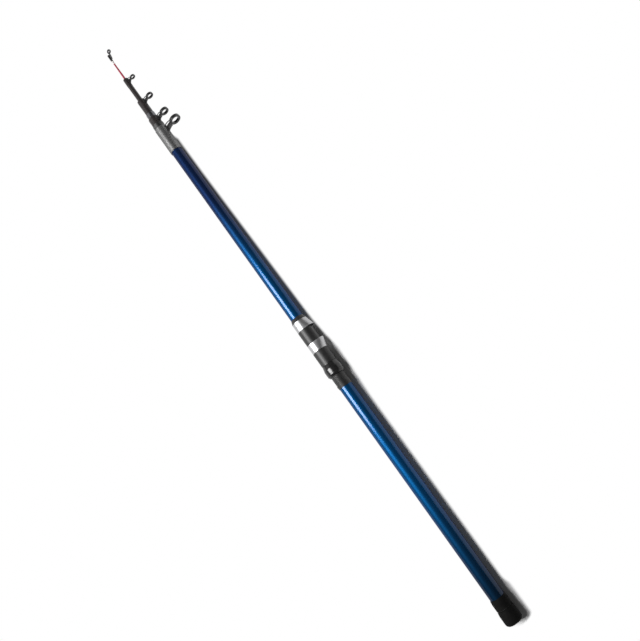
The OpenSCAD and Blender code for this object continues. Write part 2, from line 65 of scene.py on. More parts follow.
# Points round a thick piece, a slim piece, a guide ring and a wire
SIDES = 96
SLIM_SIDES = 48
RING_SIDES = 72
WIRE_SIDES = 12

# Faces that meet at more than this angle keep a sharp edge between them
SHARP_ANGLE = math.radians(50)

# Radius at which the end face of a solid without a bore closes, in millimetres
TINY_R = 0.01

# Sections, in millimetres: radii at their front ends, walls, the tip's radius at the collar, and how far
# behind the collar the tip's outline has a point
TOP_R = {"butt": 10.1, "second": 7.4, "third": 5.5, "fourth": 3.1, "tip": 1.15}
WALL = {"butt": 1.1, "second": 0.8, "third": 0.75, "fourth": 0.7}
TIP_ROOT_R = 2.0
TIP_HIDDEN_LEN = 300.0

# Rings on the sections, in millimetres: thicknesses, the sleeves' lips and the glue line under them
MOUTH_RING_T = 0.5
BINDING_T = 1.25
TIP_BINDING_T = 0.3
SLEEVE_LIP_LEN = 1.5
BOND = 0.05

# Reel seat, in millimetres: radii, bed, thread, key and the thin ends of its trims
SEAT_R = 13.6
SEAT_BORE_R = 11.45
SLIDE_R = 12.2
BED_H = SLIDE_R
BED_EDGE = 0.4
BED_EASE = 0.25
FRONT_EDGE = 0.2
SHOULDER_GAP = 0.3
THREAD_R = 12.1
THREAD_DEPTH = 0.35
THREAD_PITCH = 2.5
KEY_W = 3.2
KEY_DEPTH = 0.5
TRIM_LIP = 0.6

# Hoods of the reel seat and the pocket under them, in millimetres; the lip's depths are those of its rings
HOOD_R = 13.5
HOOD_T = 0.5
HOOD_RISE = 4.4
HOOD_EDGE = 0.18
HOOD_BREAK = 0.12
HOOD_STEP = 0.04
HOOD_BLEND = 1.6
HOOD_LIP_LEN = 1.6
HOOD_LIP_FLARE = 0.3
HOOD_LIP_DEPTHS = (0.8, 1.2, 1.7, 2.4)
HOOD_PLAIN_START = 3.4
HOOD_PLAIN_END = 0.8
ROOF_R = 11.5
UNDER_HOOD_R = 12.95
POCKET_LEN = 12.0
POCKET_DROP = 0.3
POCKET_EASE = 0.15
NOTCH_W = 12.0

# Hood carriage, washer and lock nut, in millimetres: spigot with its snap bead, the nut's slopes and groove
SPIGOT_T = 0.6
SPIGOT_R = SLIDE_R + SPIGOT_T
BEAD_H = 0.3
BEAD_R = SPIGOT_R + BEAD_H
BEAD_LEN = 1.6
RUN_GAP = 0.1
CHEEK_SINK = 0.1
WASHER_INSET = 0.25
NUT_REAR_LEN = 3.5
NUT_FRONT_LEN = 8.0
NUT_GROOVE_X = 4.9
NUT_GROOVE_LEN = 1.4
NUT_GROOVE_DEPTH = 0.6

# Butt cap, ferrule and plug, in millimetres
CAP_ROUND = 6.0
CAP_FRONT_LEN = 6.0
CAP_FLOOR_T = 6.0
FERRULE_FRONT_LEN = 6.0
FERRULE_LIP = 0.7
PLUG_PITCH = 2.0
PLUG_THREAD_DEPTH = 0.5
PLUG_LEAD = 0.2
PLUG_CHAMFER = 0.3

# Line guides from the butt forward, in millimetres, and what their feet sit on
GUIDES = ("butt", "second", "third", "fourth")
GUIDE_SEAT = ("butt_guide_binding", "second_sleeve", "third_sleeve", "fourth_collar")
GUIDE_H = (31.5, 24.2, 19.2, 13.9)
GUIDE_R = (10.5, 8.4, 7.0, 5.2)
HOLE_R = (6.4, 4.7, 3.7, 2.4)
GUIDE_DEPTH = (5.0, 4.2, 3.4, 2.6)
FOOT_LEN = (14.0, 10.5, 9.5, 11.0)
FOOT_W = (9.0, 7.6, 6.4, 4.6)
POST_T = (3.2, 2.8, 2.4, 1.9)
BRACE_R = (0.9, 0.8, 0.7, 0.55)
BAND_T = 1.1
FOOT_T = 1.0
POST_BASE_H = 0.3
GUIDE_LEAN = math.radians(6)
BRACE_TURN = math.radians(62)

# Tip ring, in millimetres
TIP_RING_R = 4.0
TIP_HOLE_R = 1.8
TIP_BAND_T = 0.8
TIP_DEPTH = 2.4
TIP_RING_H = 5.5
TIP_LEAN = math.radians(30)
STRUT_R = 0.75
STRUT_TURN = math.radians(55)


# Reading the frame

def span(node):
    """First and last station of a node, in millimetres."""
    low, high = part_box(node)
    return low.x / MM, high.x / MM


def profile(node):
    """Stations and radii of a node's points about the rod's axis, in millimetres."""
    points = [v.co for v in frame["nodes"][node].data.vertices]
    return [(p.x / MM, math.hypot(p.y, p.z) / MM) for p in points]


def reach(node):
    """Largest radius of a node about the rod's axis, in millimetres."""
    return max(radius for x, radius in profile(node))


def bore(node):
    """Smallest radius of a node about the rod's axis, in millimetres."""
    return min(radius for x, radius in profile(node))


def front_radius(node, near=0.01):
    """Largest radius of a node at its front end, in millimetres."""
    front = span(node)[1] - near
    return max(radius for x, radius in profile(node) if x > front)


# Points, curves and surfaces

def evenly(start, end, count):
    """Numbers from start to end with count equal steps between them."""
    return [start + (end - start) * k / count for k in range(count + 1)]


def on_rod(x, radius, turn):
    """A point at a station, a radius and an angle from -Y about the rod's axis."""
    return Vector((x, -radius * math.cos(turn), radius * math.sin(turn)))


def polar(radius, turn, z=0.0):
    """A point at a radius and an angle about +Z."""
    return Vector((radius * math.cos(turn), radius * math.sin(turn), z))


def curve(start, middle, end, steps):
    """Points on the curve from start to end that is drawn towards middle."""
    return [(1 - u) ** 2 * start + 2 * u * (1 - u) * middle + u ** 2 * end for u in evenly(0, 1, steps)]


def around(x, radius, sides=SIDES):
    """A ring of points about the rod's axis: radius is a number or a function of the angle from -Y."""
    ring = []
    for n in range(sides):
        turn = TAU * n / sides
        ring.append(on_rod(x, radius(turn) if callable(radius) else radius, turn))
    return ring


def skin(rings, loop):
    """Points and faces of a surface through rings of equal count, closed in a loop or capped at its ends."""
    count = len(rings[0])
    points = [p for ring in rings for p in ring]
    faces = []
    last = len(rings) if loop else len(rings) - 1
    for i in range(last):
        a = i * count
        b = (i + 1) % len(rings) * count
        for n in range(count):
            m = (n + 1) % count
            faces.append((a + n, a + m, b + m, b + n))
    if not loop:
        faces.append(tuple(reversed(range(count))))
        faces.append(tuple(range(len(points) - count, len(points))))
    return points, faces


def joined(*parts):
    """Several surfaces as one."""
    points, faces = [], []
    for part_points, part_faces in parts:
        start = len(points)
        points += part_points
        faces += [tuple(start + n for n in face) for face in part_faces]
    return points, faces


def soften(outline, edge, steps=4, closed=True, share=0.3, flat_share=0.1):
    """Rounds the corners of an outline, with a point on each flank that keeps the flats flat."""
    count = len(outline)
    smooth = []
    for i, corner in enumerate(outline):
        here = Vector(corner)
        if not closed and i in (0, count - 1):
            smooth.append(here)
            continue
        back = Vector(outline[i - 1]) - here
        ahead = Vector(outline[(i + 1) % count]) - here
        cut = min(edge, share * back.length, share * ahead.length)
        start = here + back.normalized() * cut
        end = here + ahead.normalized() * cut
        flank = cut + min(cut / 2, flat_share * back.length, flat_share * ahead.length)
        smooth.append(here + back.normalized() * flank)
        smooth += curve(start, here, end, steps)
        smooth.append(here + ahead.normalized() * flank)
    return smooth


def lathe(outline, edge, sides=SIDES):
    """A solid of revolution from a closed outline of station and radius, with softened corners."""
    return skin([around(p[0], p[1], sides) for p in soften(outline, edge)], loop=True)


def solid_lathe(outline, edge, sides=SIDES):
    """A solid of revolution without a bore, from an open outline whose ends are closed to the axis."""
    ends = [(outline[0][0], TINY_R)] + list(outline) + [(outline[-1][0], TINY_R)]
    return skin([around(p[0], p[1], sides) for p in soften(ends, edge, closed=False)], loop=False)


def tube_along(path, radius):
    """A round bar along a path, capped at its ends."""
    rings = []
    for i, p in enumerate(path):
        ahead = path[min(i + 1, len(path) - 1)] - path[max(i - 1, 0)]
        turn = Vector((0, 0, 1)).rotation_difference(ahead.normalized())
        rings.append([p + turn @ polar(radius, TAU * n / WIRE_SIDES) for n in range(WIRE_SIDES)])
    return skin(rings, loop=False)


# Materials

# Length of one band of a wave texture whose scale is 1
WAVE_BAND = TAU / 20


def grey(level):
    """A neutral colour."""
    return (level, level, level)


def shader(name, colour, metallic=0.0, roughness=0.5, coat=0.0, coat_roughness=0.1, specular=0.5):
    """A material with one surface shader, whose even values are set on the shader itself."""
    material = bpy.data.materials.new(name)
    material.use_nodes = True
    tree = material.node_tree
    surface = tree.nodes["Principled BSDF"]
    surface.inputs["Base Color"].default_value = (*colour, 1)
    surface.inputs["Metallic"].default_value = metallic
    surface.inputs["Roughness"].default_value = roughness
    surface.inputs["Coat Weight"].default_value = coat
    surface.inputs["Coat Roughness"].default_value = coat_roughness
    surface.inputs["Specular IOR Level"].default_value = specular
    return material, tree, surface


def noise(tree, scale, stretch=(1, 1, 1), detail=3.0):
    """Noise in the object's own metres, stretched along its axes."""
    place = tree.nodes.new("ShaderNodeTexCoord")
    mapping = tree.nodes.new("ShaderNodeMapping")
    mapping.inputs["Scale"].default_value = stretch
    texture = tree.nodes.new("ShaderNodeTexNoise")
    texture.inputs["Scale"].default_value = scale
    texture.inputs["Detail"].default_value = detail
    tree.links.new(place.outputs["Object"], mapping.inputs["Vector"])
    tree.links.new(mapping.outputs["Vector"], texture.inputs["Vector"])
    return texture.outputs["Fac"]


def bands(tree, pitch, distortion):
    """Even bands round the rod, one to each pitch along it, in metres."""
    place = tree.nodes.new("ShaderNodeTexCoord")
    texture = tree.nodes.new("ShaderNodeTexWave")
    texture.wave_type = "BANDS"
    texture.bands_direction = "X"
    texture.inputs["Scale"].default_value = WAVE_BAND / pitch
    texture.inputs["Distortion"].default_value = distortion
    tree.links.new(place.outputs["Object"], texture.inputs["Vector"])
    return texture.outputs["Fac"]


def shades(tree, factor, low, high, start=0.3, end=0.7):
    """A colour that runs from low to high with a factor."""
    ramp = tree.nodes.new("ShaderNodeValToRGB")
    first, last = ramp.color_ramp.elements
    first.position = start
    first.color = (*low, 1)
    last.position = end
    last.color = (*high, 1)
    tree.links.new(factor, ramp.inputs["Fac"])
    return ramp.outputs["Color"]


def paint(tree, surface, colour):
    """Gives the surface its colour from a socket."""
    tree.links.new(colour, surface.inputs["Base Color"])


def vary(tree, surface, factor, low, high):
    """Runs the surface's roughness from low to high with a factor."""
    spread = tree.nodes.new("ShaderNodeMapRange")
    spread.inputs["To Min"].default_value = low
    spread.inputs["To Max"].default_value = high
    tree.links.new(factor, spread.inputs["Value"])
    tree.links.new(spread.outputs["Result"], surface.inputs["Roughness"])


def relief(tree, surface, height, depth, strength):
    """Fine relief from a height, with its depth in metres."""
    bump = tree.nodes.new("ShaderNodeBump")
    bump.inputs["Strength"].default_value = strength
    bump.inputs["Distance"].default_value = depth
    tree.links.new(height, bump.inputs["Height"])
    tree.links.new(bump.outputs["Normal"], surface.inputs["Normal"])


def along_rod(tree, start, end):
    """Runs from 0 at one station along the rod to 1 at another, in metres."""
    place = tree.nodes.new("ShaderNodeTexCoord")
    parts = tree.nodes.new("ShaderNodeSeparateXYZ")
    spread = tree.nodes.new("ShaderNodeMapRange")
    spread.inputs["From Min"].default_value = start
    spread.inputs["From Max"].default_value = end
    tree.links.new(place.outputs["Object"], parts.inputs["Vector"])
    tree.links.new(parts.outputs["X"], spread.inputs["Value"])
    return spread.outputs["Result"]


def blend(tree, factor, a, b):
    """Mixes two colours, given as sockets, with a factor."""
    mix = tree.nodes.new("ShaderNodeMix")
    mix.data_type = "RGBA"
    tree.links.new(factor, mix.inputs["Factor"])
    tree.links.new(a, mix.inputs["A"])
    tree.links.new(b, mix.inputs["B"])
    return mix.outputs["Result"]


def blue_lacquer():
    """Flake lacquer under a thin clear coat: darkest at the butt end, where the colour is painted shade, and
    nearest to indigo at the front.
    """
    material, tree, surface = shader(
        "blue_lacquer", (0.001, 0.055, 0.18), metallic=0.6, roughness=0.4, coat=0.14, specular=0.15
    )
    surface.inputs["Coat IOR"].default_value = 2.2
    surface.inputs["Specular Tint"].default_value = (0.15, 0.24, 0.36, 1)
    flakes = noise(tree, scale=2600, detail=2)
    # Painted shade: the butt end's darker colour stands in for the lamp's light falling off towards the
    # butt. It fades into the middle's colour between 0.05 m and 0.24 m.
    butt = shades(tree, flakes, (0.001, 0.014, 0.038), (0.002, 0.021, 0.054))
    middle = shades(tree, flakes, (0.001, 0.052, 0.155), (0.001, 0.070, 0.205))
    front = shades(tree, flakes, (0.005, 0.017, 0.066), (0.008, 0.025, 0.092))
    rear_with_painted_shade = blend(tree, along_rod(tree, start=0.05, end=0.24), butt, middle)
    paint(tree, surface, blend(tree, along_rod(tree, start=0.66, end=0.82), rear_with_painted_shade, front))
    vary(tree, surface, noise(tree, scale=60, stretch=(0.2, 1, 1)), low=0.37, high=0.43)
    relief(tree, surface, flakes, depth=0.00002, strength=0.3)
    return material


def red_lacquer():
    """Glossy lacquer, streaked a little along the tip."""
    material, tree, surface = shader(
        "red_lacquer", (0.45, 0.03, 0.07), metallic=0.2, roughness=0.3, coat=1.0, coat_roughness=0.08
    )
    streaks = noise(tree, scale=700, stretch=(0.1, 1, 1))
    paint(tree, surface, shades(tree, streaks, (0.36, 0.02, 0.05), (0.52, 0.045, 0.09)))
    vary(tree, surface, noise(tree, scale=300), low=0.24, high=0.38)
    return material


def wound_thread(name, low, high, pitch, coat, metallic=0.0, smooth=0.45, rough=0.6, edge=1.0):
    """Thread wound in even turns under varnish; edge is how bright it turns at a grazing view."""
    material, tree, surface = shader(
        name, high, metallic=metallic, roughness=rough, coat=coat, coat_roughness=0.12
    )
    surface.inputs["Specular Tint"].default_value = (*grey(edge), 1)
    turns = bands(tree, pitch, distortion=0.4)
    paint(tree, surface, shades(tree, turns, low, high, start=0.1, end=0.8))
    vary(tree, surface, noise(tree, scale=900), low=smooth, high=rough)
    relief(tree, surface, turns, depth=0.00004, strength=0.5)
    return material


def moulded(name, low, high, roughness, coat=0.0, coat_roughness=0.15, grain=2200):
    """A moulded or varnished surface with a fine grain and slow changes of tone."""
    material, tree, surface = shader(
        name, high, roughness=roughness, coat=coat, coat_roughness=coat_roughness
    )
    speckle = noise(tree, scale=grain)
    paint(tree, surface, shades(tree, noise(tree, scale=140), low, high))
    vary(tree, surface, speckle, low=roughness - 0.06, high=roughness + 0.08)
    relief(tree, surface, speckle, depth=0.00002, strength=0.35)
    return material


def turned_metal(name, low, high, roughness):
    """Metal with fine tool marks round the rod."""
    material, tree, surface = shader(name, high, metallic=1.0, roughness=roughness)
    marks = noise(tree, scale=420, stretch=(9, 0.6, 0.6))
    paint(tree, surface, shades(tree, marks, low, high))
    vary(tree, surface, marks, low=roughness - 0.05, high=roughness + 0.07)
    relief(tree, surface, marks, depth=0.00001, strength=0.3)
    return material


def rubber():
    """Matt rubber with small pores."""
    material, tree, surface = shader("cap_rubber", grey(0.005), roughness=0.75, specular=0.09)
    pores = noise(tree, scale=1500, detail=5)
    tone = noise(tree, scale=220, detail=6)
    paint(tree, surface, shades(tree, tone, grey(0.003), (0.007, 0.007, 0.006), start=0.35, end=0.8))
    vary(tree, surface, pores, low=0.65, high=0.88)
    relief(tree, surface, pores, depth=0.00006, strength=0.5)
    return material


LOOKS = {
    "blue_lacquer": blue_lacquer(),
    "grey_binding": wound_thread(
        "grey_binding", grey(0.15), grey(0.30), pitch=0.0003, coat=0.15,
        metallic=0.85, smooth=0.36, rough=0.48, edge=0.2
    ),
    "mouth_ring": turned_metal("mouth_ring", grey(0.09), grey(0.15), roughness=0.4),
    "black_fibre": moulded(
        "black_fibre", (0.012, 0.012, 0.014), (0.022, 0.022, 0.025),
        roughness=0.3, coat=0.8, coat_roughness=0.08, grain=900
    ),
    "black_sleeve": moulded("black_sleeve", (0.016, 0.013, 0.013), (0.030, 0.025, 0.024), roughness=0.36),
    "bright_ring": turned_metal("bright_ring", (0.14, 0.14, 0.15), (0.22, 0.22, 0.23), roughness=0.34),
    "red_lacquer": red_lacquer(),
    "pale_thread": wound_thread(
        "pale_thread", (0.55, 0.50, 0.48), (0.78, 0.74, 0.72), pitch=0.00025, coat=0.6
    ),
    "guide_frame": moulded("guide_frame", grey(0.010), grey(0.024), roughness=0.34, coat=0.3),
    "guide_ring": moulded(
        "guide_ring", (0.008, 0.008, 0.009), (0.016, 0.016, 0.017),
        roughness=0.12, coat=0.5, coat_roughness=0.05, grain=1200
    ),
    "hood_steel": turned_metal("hood_steel", (0.46, 0.46, 0.47), (0.58, 0.58, 0.59), roughness=0.42),
    "washer_steel": turned_metal("washer_steel", grey(0.05), grey(0.09), roughness=0.4),
    "seat_plastic": moulded("seat_plastic", grey(0.014), grey(0.024), roughness=0.44),
    "nut_plastic": moulded("nut_plastic", grey(0.010), grey(0.018), roughness=0.24, coat=0.1),
    "plug_plastic": moulded("plug_plastic", grey(0.020), grey(0.035), roughness=0.42),
    "cap_rubber": rubber(),
    "pad_foam": moulded("pad_foam", grey(0.006), grey(0.014), roughness=0.85, grain=800),
    "arbor_paper": moulded(
        "arbor_paper", (0.42, 0.33, 0.20), (0.58, 0.48, 0.32), roughness=0.8, grain=1500
    ),
}
SLOT_OF = {row["node"]: row["material_slot"] for row in frame["record"]["subparts"]}
BODY_OF = {node: body for body, nodes in frame["record"]["behaviour"]["bodies"].items() for node in nodes}

for node, part in frame["nodes"].items():
    part.data.materials.clear()
    part.data.materials.append(LOOKS[SLOT_OF[node]])


def dress(node, surface):
    """Shows a finer surface, in millimetres, in place of a node, on its body and with its finish."""
    name = node + "_shown"
    points, faces = surface
    mesh = bpy.data.meshes.new(name)
    mesh.from_pydata([p * MM for p in points], [], faces)
    mesh.validate()
    outward = bmesh.new()
    outward.from_mesh(mesh)
    bmesh.ops.recalc_face_normals(outward, faces=outward.faces)
    outward.to_mesh(mesh)
    outward.free()
    mesh.polygons.foreach_set("use_smooth", [True] * len(mesh.polygons))
    mesh.set_sharp_from_angle(angle=SHARP_ANGLE)
    mesh.materials.append(LOOKS[SLOT_OF[node]])
    piece = bpy.data.objects.new(name, mesh)
    bpy.context.scene.collection.objects.link(piece)
    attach(piece, BODY_OF[node])
    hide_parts(node)


# Sections and the rings on them

TIP_ROOT_X = span("fourth_collar")[1]


def between(x, x0, x1, r0, r1):
    """Radius at a station on a straight taper between two others."""
    return r0 + (r1 - r0) * (x - x0) / (x1 - x0)


def taper(section):
    """Outside radius of a section's tube as a function of the station."""
    node = "tip_rod" if section == "tip" else section + "_tube"
    x0, x1 = span(node)
    base = reach(node)
    top = TOP_R[section]

    def radius(x):
        if section != "tip":
            return between(x, x0, x1, base, top)
        if x < TIP_ROOT_X:
            return between(x, x0, TIP_ROOT_X, base, TIP_ROOT_R)
        return between(x, TIP_ROOT_X, x1, TIP_ROOT_R, top)

    return radius


TAPER = {section: taper(section) for section in TOP_R}


def section_tube(section):
    """A tapered tube with an even wall."""
    x0, x1 = span(section + "_tube")
    outer = TAPER[section]
    outside = [(x, outer(x)) for x in evenly(x0, x1, count=12)]
    inside = [(x, outer(x) - WALL[section]) for x in (x1, x0)]
    return lathe(outside + inside, edge=0.15)


def tip_rod():
    """The solid tip; its outline has a point in the hidden stretch and one halfway along the shown one."""
    x0, x1 = span("tip_rod")
    stations = [x0, TIP_ROOT_X - TIP_HIDDEN_LEN, TIP_ROOT_X, (TIP_ROOT_X + x1) / 2, x1]
    return solid_lathe([(x, TAPER["tip"](x)) for x in stations], edge=0.15, sides=SLIM_SIDES)


def bonded(node, section, edge, thick=None):
    """A ring bonded on a section's tube: even if it has a thickness, and otherwise straight outside."""
    x0, x1 = span(node)
    inner = TAPER[section]
    straight = reach(node)

    def outer(x):
        return straight if thick is None else inner(x) + thick

    return lathe([(x0, inner(x0) + BOND), (x0, outer(x0)), (x1, outer(x1)), (x1, inner(x1) + BOND)], edge)


def sleeve(node, section):
    """A guide sleeve with its seating lip at the rear."""
    x0, x1 = span(node)
    inner = TAPER[section]
    lip = reach(node)
    outer = front_radius(node)
    lip_x = x0 + SLEEVE_LIP_LEN
    return lathe([
        (x0, inner(x0) + BOND), (x0, lip), (lip_x, lip), (lip_x, outer), (x1, outer), (x1, inner(x1) + BOND)
    ], edge=0.3)


for section in WALL:
    dress(section + "_tube", section_tube(section))
for section in ("second", "third", "fourth"):
    dress(section + "_sleeve", sleeve(section + "_sleeve", section))
dress("mouth_ring", bonded("mouth_ring", "butt", edge=0.3, thick=MOUTH_RING_T))
dress("butt_guide_binding", bonded("butt_guide_binding", "butt", edge=0.4, thick=BINDING_T))
dress("second_front_ring", bonded("second_front_ring", "second", edge=0.4))
dress("fourth_collar", bonded("fourth_collar", "fourth", edge=0.4))
dress("tip_binding", bonded("tip_binding", "tip", edge=0.15, thick=TIP_BINDING_T))
dress("tip_rod", tip_rod())


# Reel seat

SEAT_START, SEAT_END = span("seat_body")
FRONT_MOUTH, FRONT_HOOD_END = span("front_hood")
SLIDE_HOOD_START, SLIDE_MOUTH = span("sliding_hood")


def smooth_max(a, b, width):
    """The larger of two numbers, eased where they are close."""
    ease = max(width - abs(a - b), 0) / width
    return max(a, b) + ease * ease * width / 4


def smooth_min(a, b, width):
    """The smaller of two numbers, eased where they are close."""
    return -smooth_max(-a, -b, width)


def thread_wave(phase, ridge=0.72, flank=0.22):
    """Height of a thread, 0 to 1, over one pitch; the ridge and its flanks are shares of the pitch."""
    rise = (phase % 1) / flank
    fall = (ridge - phase % 1) / flank
    return max(0.0, min(1.0, rise, fall))


def thread_rings(x0, x1, crest, depth, pitch, rows, groove=None):
    """Rings of a helical thread that runs out at both ends, with a number of rows to each pitch."""
    rings = []
    for x in evenly(x0, x1, round((x1 - x0) / pitch * rows)):
        fade = min(1.0, (x - x0) / pitch, (x1 - x) / pitch)

        def radius(turn):
            r = crest - depth + depth * fade * thread_wave((x - x0) / pitch - turn / TAU)
            return min(r, groove(turn)) if groove else r

        rings.append(around(x, radius))
    return rings


def key_groove(turn):
    """Radius that the key's groove leaves on the side away from the guides."""
    away = abs(turn - math.pi) * THREAD_R
    return THREAD_R - KEY_DEPTH if away < KEY_W / 2 else THREAD_R


def flat_at(height, radius, ease, least_cos=0.3):
    """A round section with a flat at a height on the guide side; below least_cos it is only round."""
    def shape(turn):
        if math.cos(turn) < least_cos:
            return radius
        return smooth_min(radius, height / math.cos(turn), ease)

    return shape


def seat_body():
    """The threaded rear, the bed between the hoods and the pocket under the front hood."""
    def bed(inset):
        return flat_at(BED_H, SEAT_R - inset, BED_EASE)

    def pocket(drop):
        return flat_at(BED_H - drop, UNDER_HOOD_R, POCKET_EASE)

    shoulder = SLIDE_MOUTH + SHOULDER_GAP
    edge_start = 0.3 * BED_EDGE
    pocket_end = FRONT_MOUTH + POCKET_LEN
    outline = [
        (shoulder, bed(BED_EDGE)), (shoulder + edge_start, bed(edge_start)),
        (shoulder + BED_EDGE, bed(0)), (shoulder + 2 * BED_EDGE, bed(0)),
        (FRONT_MOUTH - 2 * BED_EDGE, bed(0)), (FRONT_MOUTH - FRONT_EDGE, bed(0)),
        (FRONT_MOUTH - FRONT_EDGE / 4, bed(FRONT_EDGE / 2)),
        (FRONT_MOUTH, pocket(0)), (FRONT_MOUTH + POCKET_DROP, pocket(POCKET_DROP)),
        (pocket_end, pocket(POCKET_DROP)), (pocket_end, UNDER_HOOD_R),
        (SEAT_END, UNDER_HOOD_R), (SEAT_END, SEAT_BORE_R),
    ]
    rings = [around(SEAT_START, SEAT_BORE_R)]
    rings += thread_rings(
        SEAT_START, shoulder, THREAD_R, THREAD_DEPTH, THREAD_PITCH, rows=10, groove=key_groove
    )
    rings += [around(x, shape) for x, shape in outline]
    return skin(rings, loop=True)


def hood(mouth, ahead):
    """A pressed steel hood whose mouth is at a station; ahead is +1 or -1, the way it runs back."""
    length = FRONT_HOOD_END - FRONT_MOUTH
    peak = SEAT_R + HOOD_RISE
    tilt = math.atan((peak - HOOD_R + HOOD_T / 2) / length)
    upright = ROOF_R / math.cos(tilt)

    def outside(depth):
        centre = peak - upright - depth * math.tan(tilt)
        flare = HOOD_LIP_FLARE * max(0.0, 1 - depth / HOOD_LIP_LEN) ** 2

        def radius(turn):
            a = (math.sin(turn) / ROOF_R) ** 2 + (math.cos(turn) / upright) ** 2
            b = -2 * centre * math.cos(turn) / upright ** 2
            c = (centre / upright) ** 2 - 1
            roof = (-b + math.sqrt(b * b - 4 * a * c)) / (2 * a)
            lifted = max(0.0, min(1.0, (roof - HOOD_R) / HOOD_RISE))
            return smooth_max(HOOD_R, roof, HOOD_BLEND) + flare * lifted

        return radius

    def shrunk(depth, by):
        shape = outside(depth)
        return lambda turn: shape(turn) - by

    depths = [HOOD_EDGE, 2 * HOOD_EDGE, *HOOD_LIP_DEPTHS]
    depths += evenly(HOOD_PLAIN_START, length - HOOD_PLAIN_END, count=12)
    depths += [length - 2 * HOOD_EDGE, length - HOOD_EDGE]
    end = mouth + ahead * length
    rings = [around(mouth, shrunk(0, HOOD_T / 2)), around(mouth + ahead * HOOD_STEP, shrunk(0, HOOD_BREAK))]
    rings += [around(mouth + ahead * d, outside(d)) for d in depths]
    rings += [around(end, shrunk(length, by)) for by in (HOOD_BREAK, HOOD_T - HOOD_STEP / 2)]
    rings += [around(mouth + ahead * d, shrunk(d, HOOD_T)) for d in reversed(depths)]
    return skin(rings, loop=True)


def hood_carriage():
    """The barrel that carries the sliding hood, with the reel foot's notch between two cheeks."""
    x0 = span("hood_carriage")[0]
    bead_x = x0 + BEAD_LEN
    barrel_x = span("thrust_washer")[1]
    notch_x = SLIDE_MOUTH - POCKET_LEN
    barrel = lathe([
        (x0, SLIDE_R), (x0, BEAD_R), (bead_x, BEAD_R), (bead_x, SPIGOT_R), (barrel_x, SPIGOT_R),
        (barrel_x, SEAT_R), (SLIDE_HOOD_START, SEAT_R), (SLIDE_HOOD_START, UNDER_HOOD_R),
        (notch_x, UNDER_HOOD_R), (notch_x, SLIDE_R)
    ], edge=0.35)
    half_turn = math.asin(NOTCH_W / 2 / UNDER_HOOD_R)
    turns = evenly(half_turn, TAU - half_turn, count=60)

    def cheeks(x):
        outer = [on_rod(x, UNDER_HOOD_R, t) for t in turns]
        inner = [on_rod(x, SLIDE_R, t) for t in reversed(turns)]
        return outer + inner

    return joined(barrel, skin([cheeks(notch_x - CHEEK_SINK), cheeks(SLIDE_MOUTH)], loop=False))


def thrust_washer():
    """The washer between the nut and the barrel."""
    x0, x1 = span("thrust_washer")
    inner = SPIGOT_R + BOND
    outer = SEAT_R - WASHER_INSET
    return lathe([(x0, inner), (x0, outer), (x1, outer), (x1, inner)], edge=0.1)


def lock_nut():
    """A nut that swells between two slopes, with a groove, and room inside for the carriage's snap bead."""
    x0, x1 = span("lock_nut")
    nut_r = reach("lock_nut")
    groove_r = nut_r - NUT_GROOVE_DEPTH
    groove_x0 = x0 + NUT_GROOVE_X
    groove_x1 = groove_x0 + NUT_GROOVE_LEN
    bead_x = span("hood_carriage")[0] - RUN_GAP
    lip_x = bead_x + BEAD_LEN + 2 * RUN_GAP
    lip_r = SPIGOT_R + RUN_GAP
    bead_r = BEAD_R + RUN_GAP
    return lathe([
        (x0, SLIDE_R), (x0, SEAT_R), (x0 + NUT_REAR_LEN, nut_r), (groove_x0, nut_r), (groove_x0, groove_r),
        (groove_x1, groove_r), (groove_x1, nut_r), (x1 - NUT_FRONT_LEN, nut_r), (x1, SEAT_R),
        (x1, lip_r), (lip_x, lip_r), (lip_x, bead_r), (bead_x, bead_r), (bead_x, SLIDE_R)
    ], edge=0.9)


def seat_trim(node, rear_r, front_r, edge):
    """A trim that slopes from the seat down to the butt tube."""
    x0, x1 = span(node)
    inner = TAPER["butt"]
    return lathe([(x0, inner(x0) + BOND), (x0, rear_r), (x1, front_r), (x1, inner(x1) + BOND)], edge)


front_lip_r = TAPER["butt"](span("seat_front_trim")[1]) + TRIM_LIP
rear_lip_r = TAPER["butt"](span("seat_rear_trim")[0]) + TRIM_LIP
dress("seat_body", seat_body())
dress("front_hood", hood(FRONT_MOUTH, 1))
dress("sliding_hood", hood(SLIDE_MOUTH, -1))
dress("hood_carriage", hood_carriage())
dress("lock_nut", lock_nut())
dress("seat_front_trim", seat_trim("seat_front_trim", SEAT_R, front_lip_r, edge=0.5))
dress("seat_rear_trim", seat_trim("seat_rear_trim", rear_lip_r, THREAD_R + TRIM_LIP, edge=0.3))
dress("thrust_washer", thrust_washer())


# Butt cap

def butt_ferrule():
    """The ring that finishes the rear end of the tube, with a slope at its front."""
    x0, x1 = span("butt_ferrule")
    inner = TAPER["butt"]
    outer = reach("butt_ferrule")
    return lathe([
        (x0, inner(x0) + BOND), (x0, outer), (x1 - FERRULE_FRONT_LEN, outer), (x1, inner(x1) + FERRULE_LIP),
        (x1, inner(x1) + BOND)
    ], edge=0.2)


def rubber_cap():
    """The round-ended cap with the plug's socket in its front."""
    x0, x1 = span("rubber_cap")
    cap_r = reach("rubber_cap")
    socket_r = reach("screw_plug") + BOND
    turns = evenly(0, math.pi / 2, count=6)
    outline = [(x0 + CAP_ROUND * (1 - math.cos(t)), cap_r - CAP_ROUND * (1 - math.sin(t))) for t in turns]
    outline += [(x1 - CAP_FRONT_LEN, cap_r), (x1, reach("butt_ferrule"))]
    outline += [(x1, socket_r), (x0 + CAP_FLOOR_T, socket_r)]
    return solid_lathe(outline, edge=1.6)


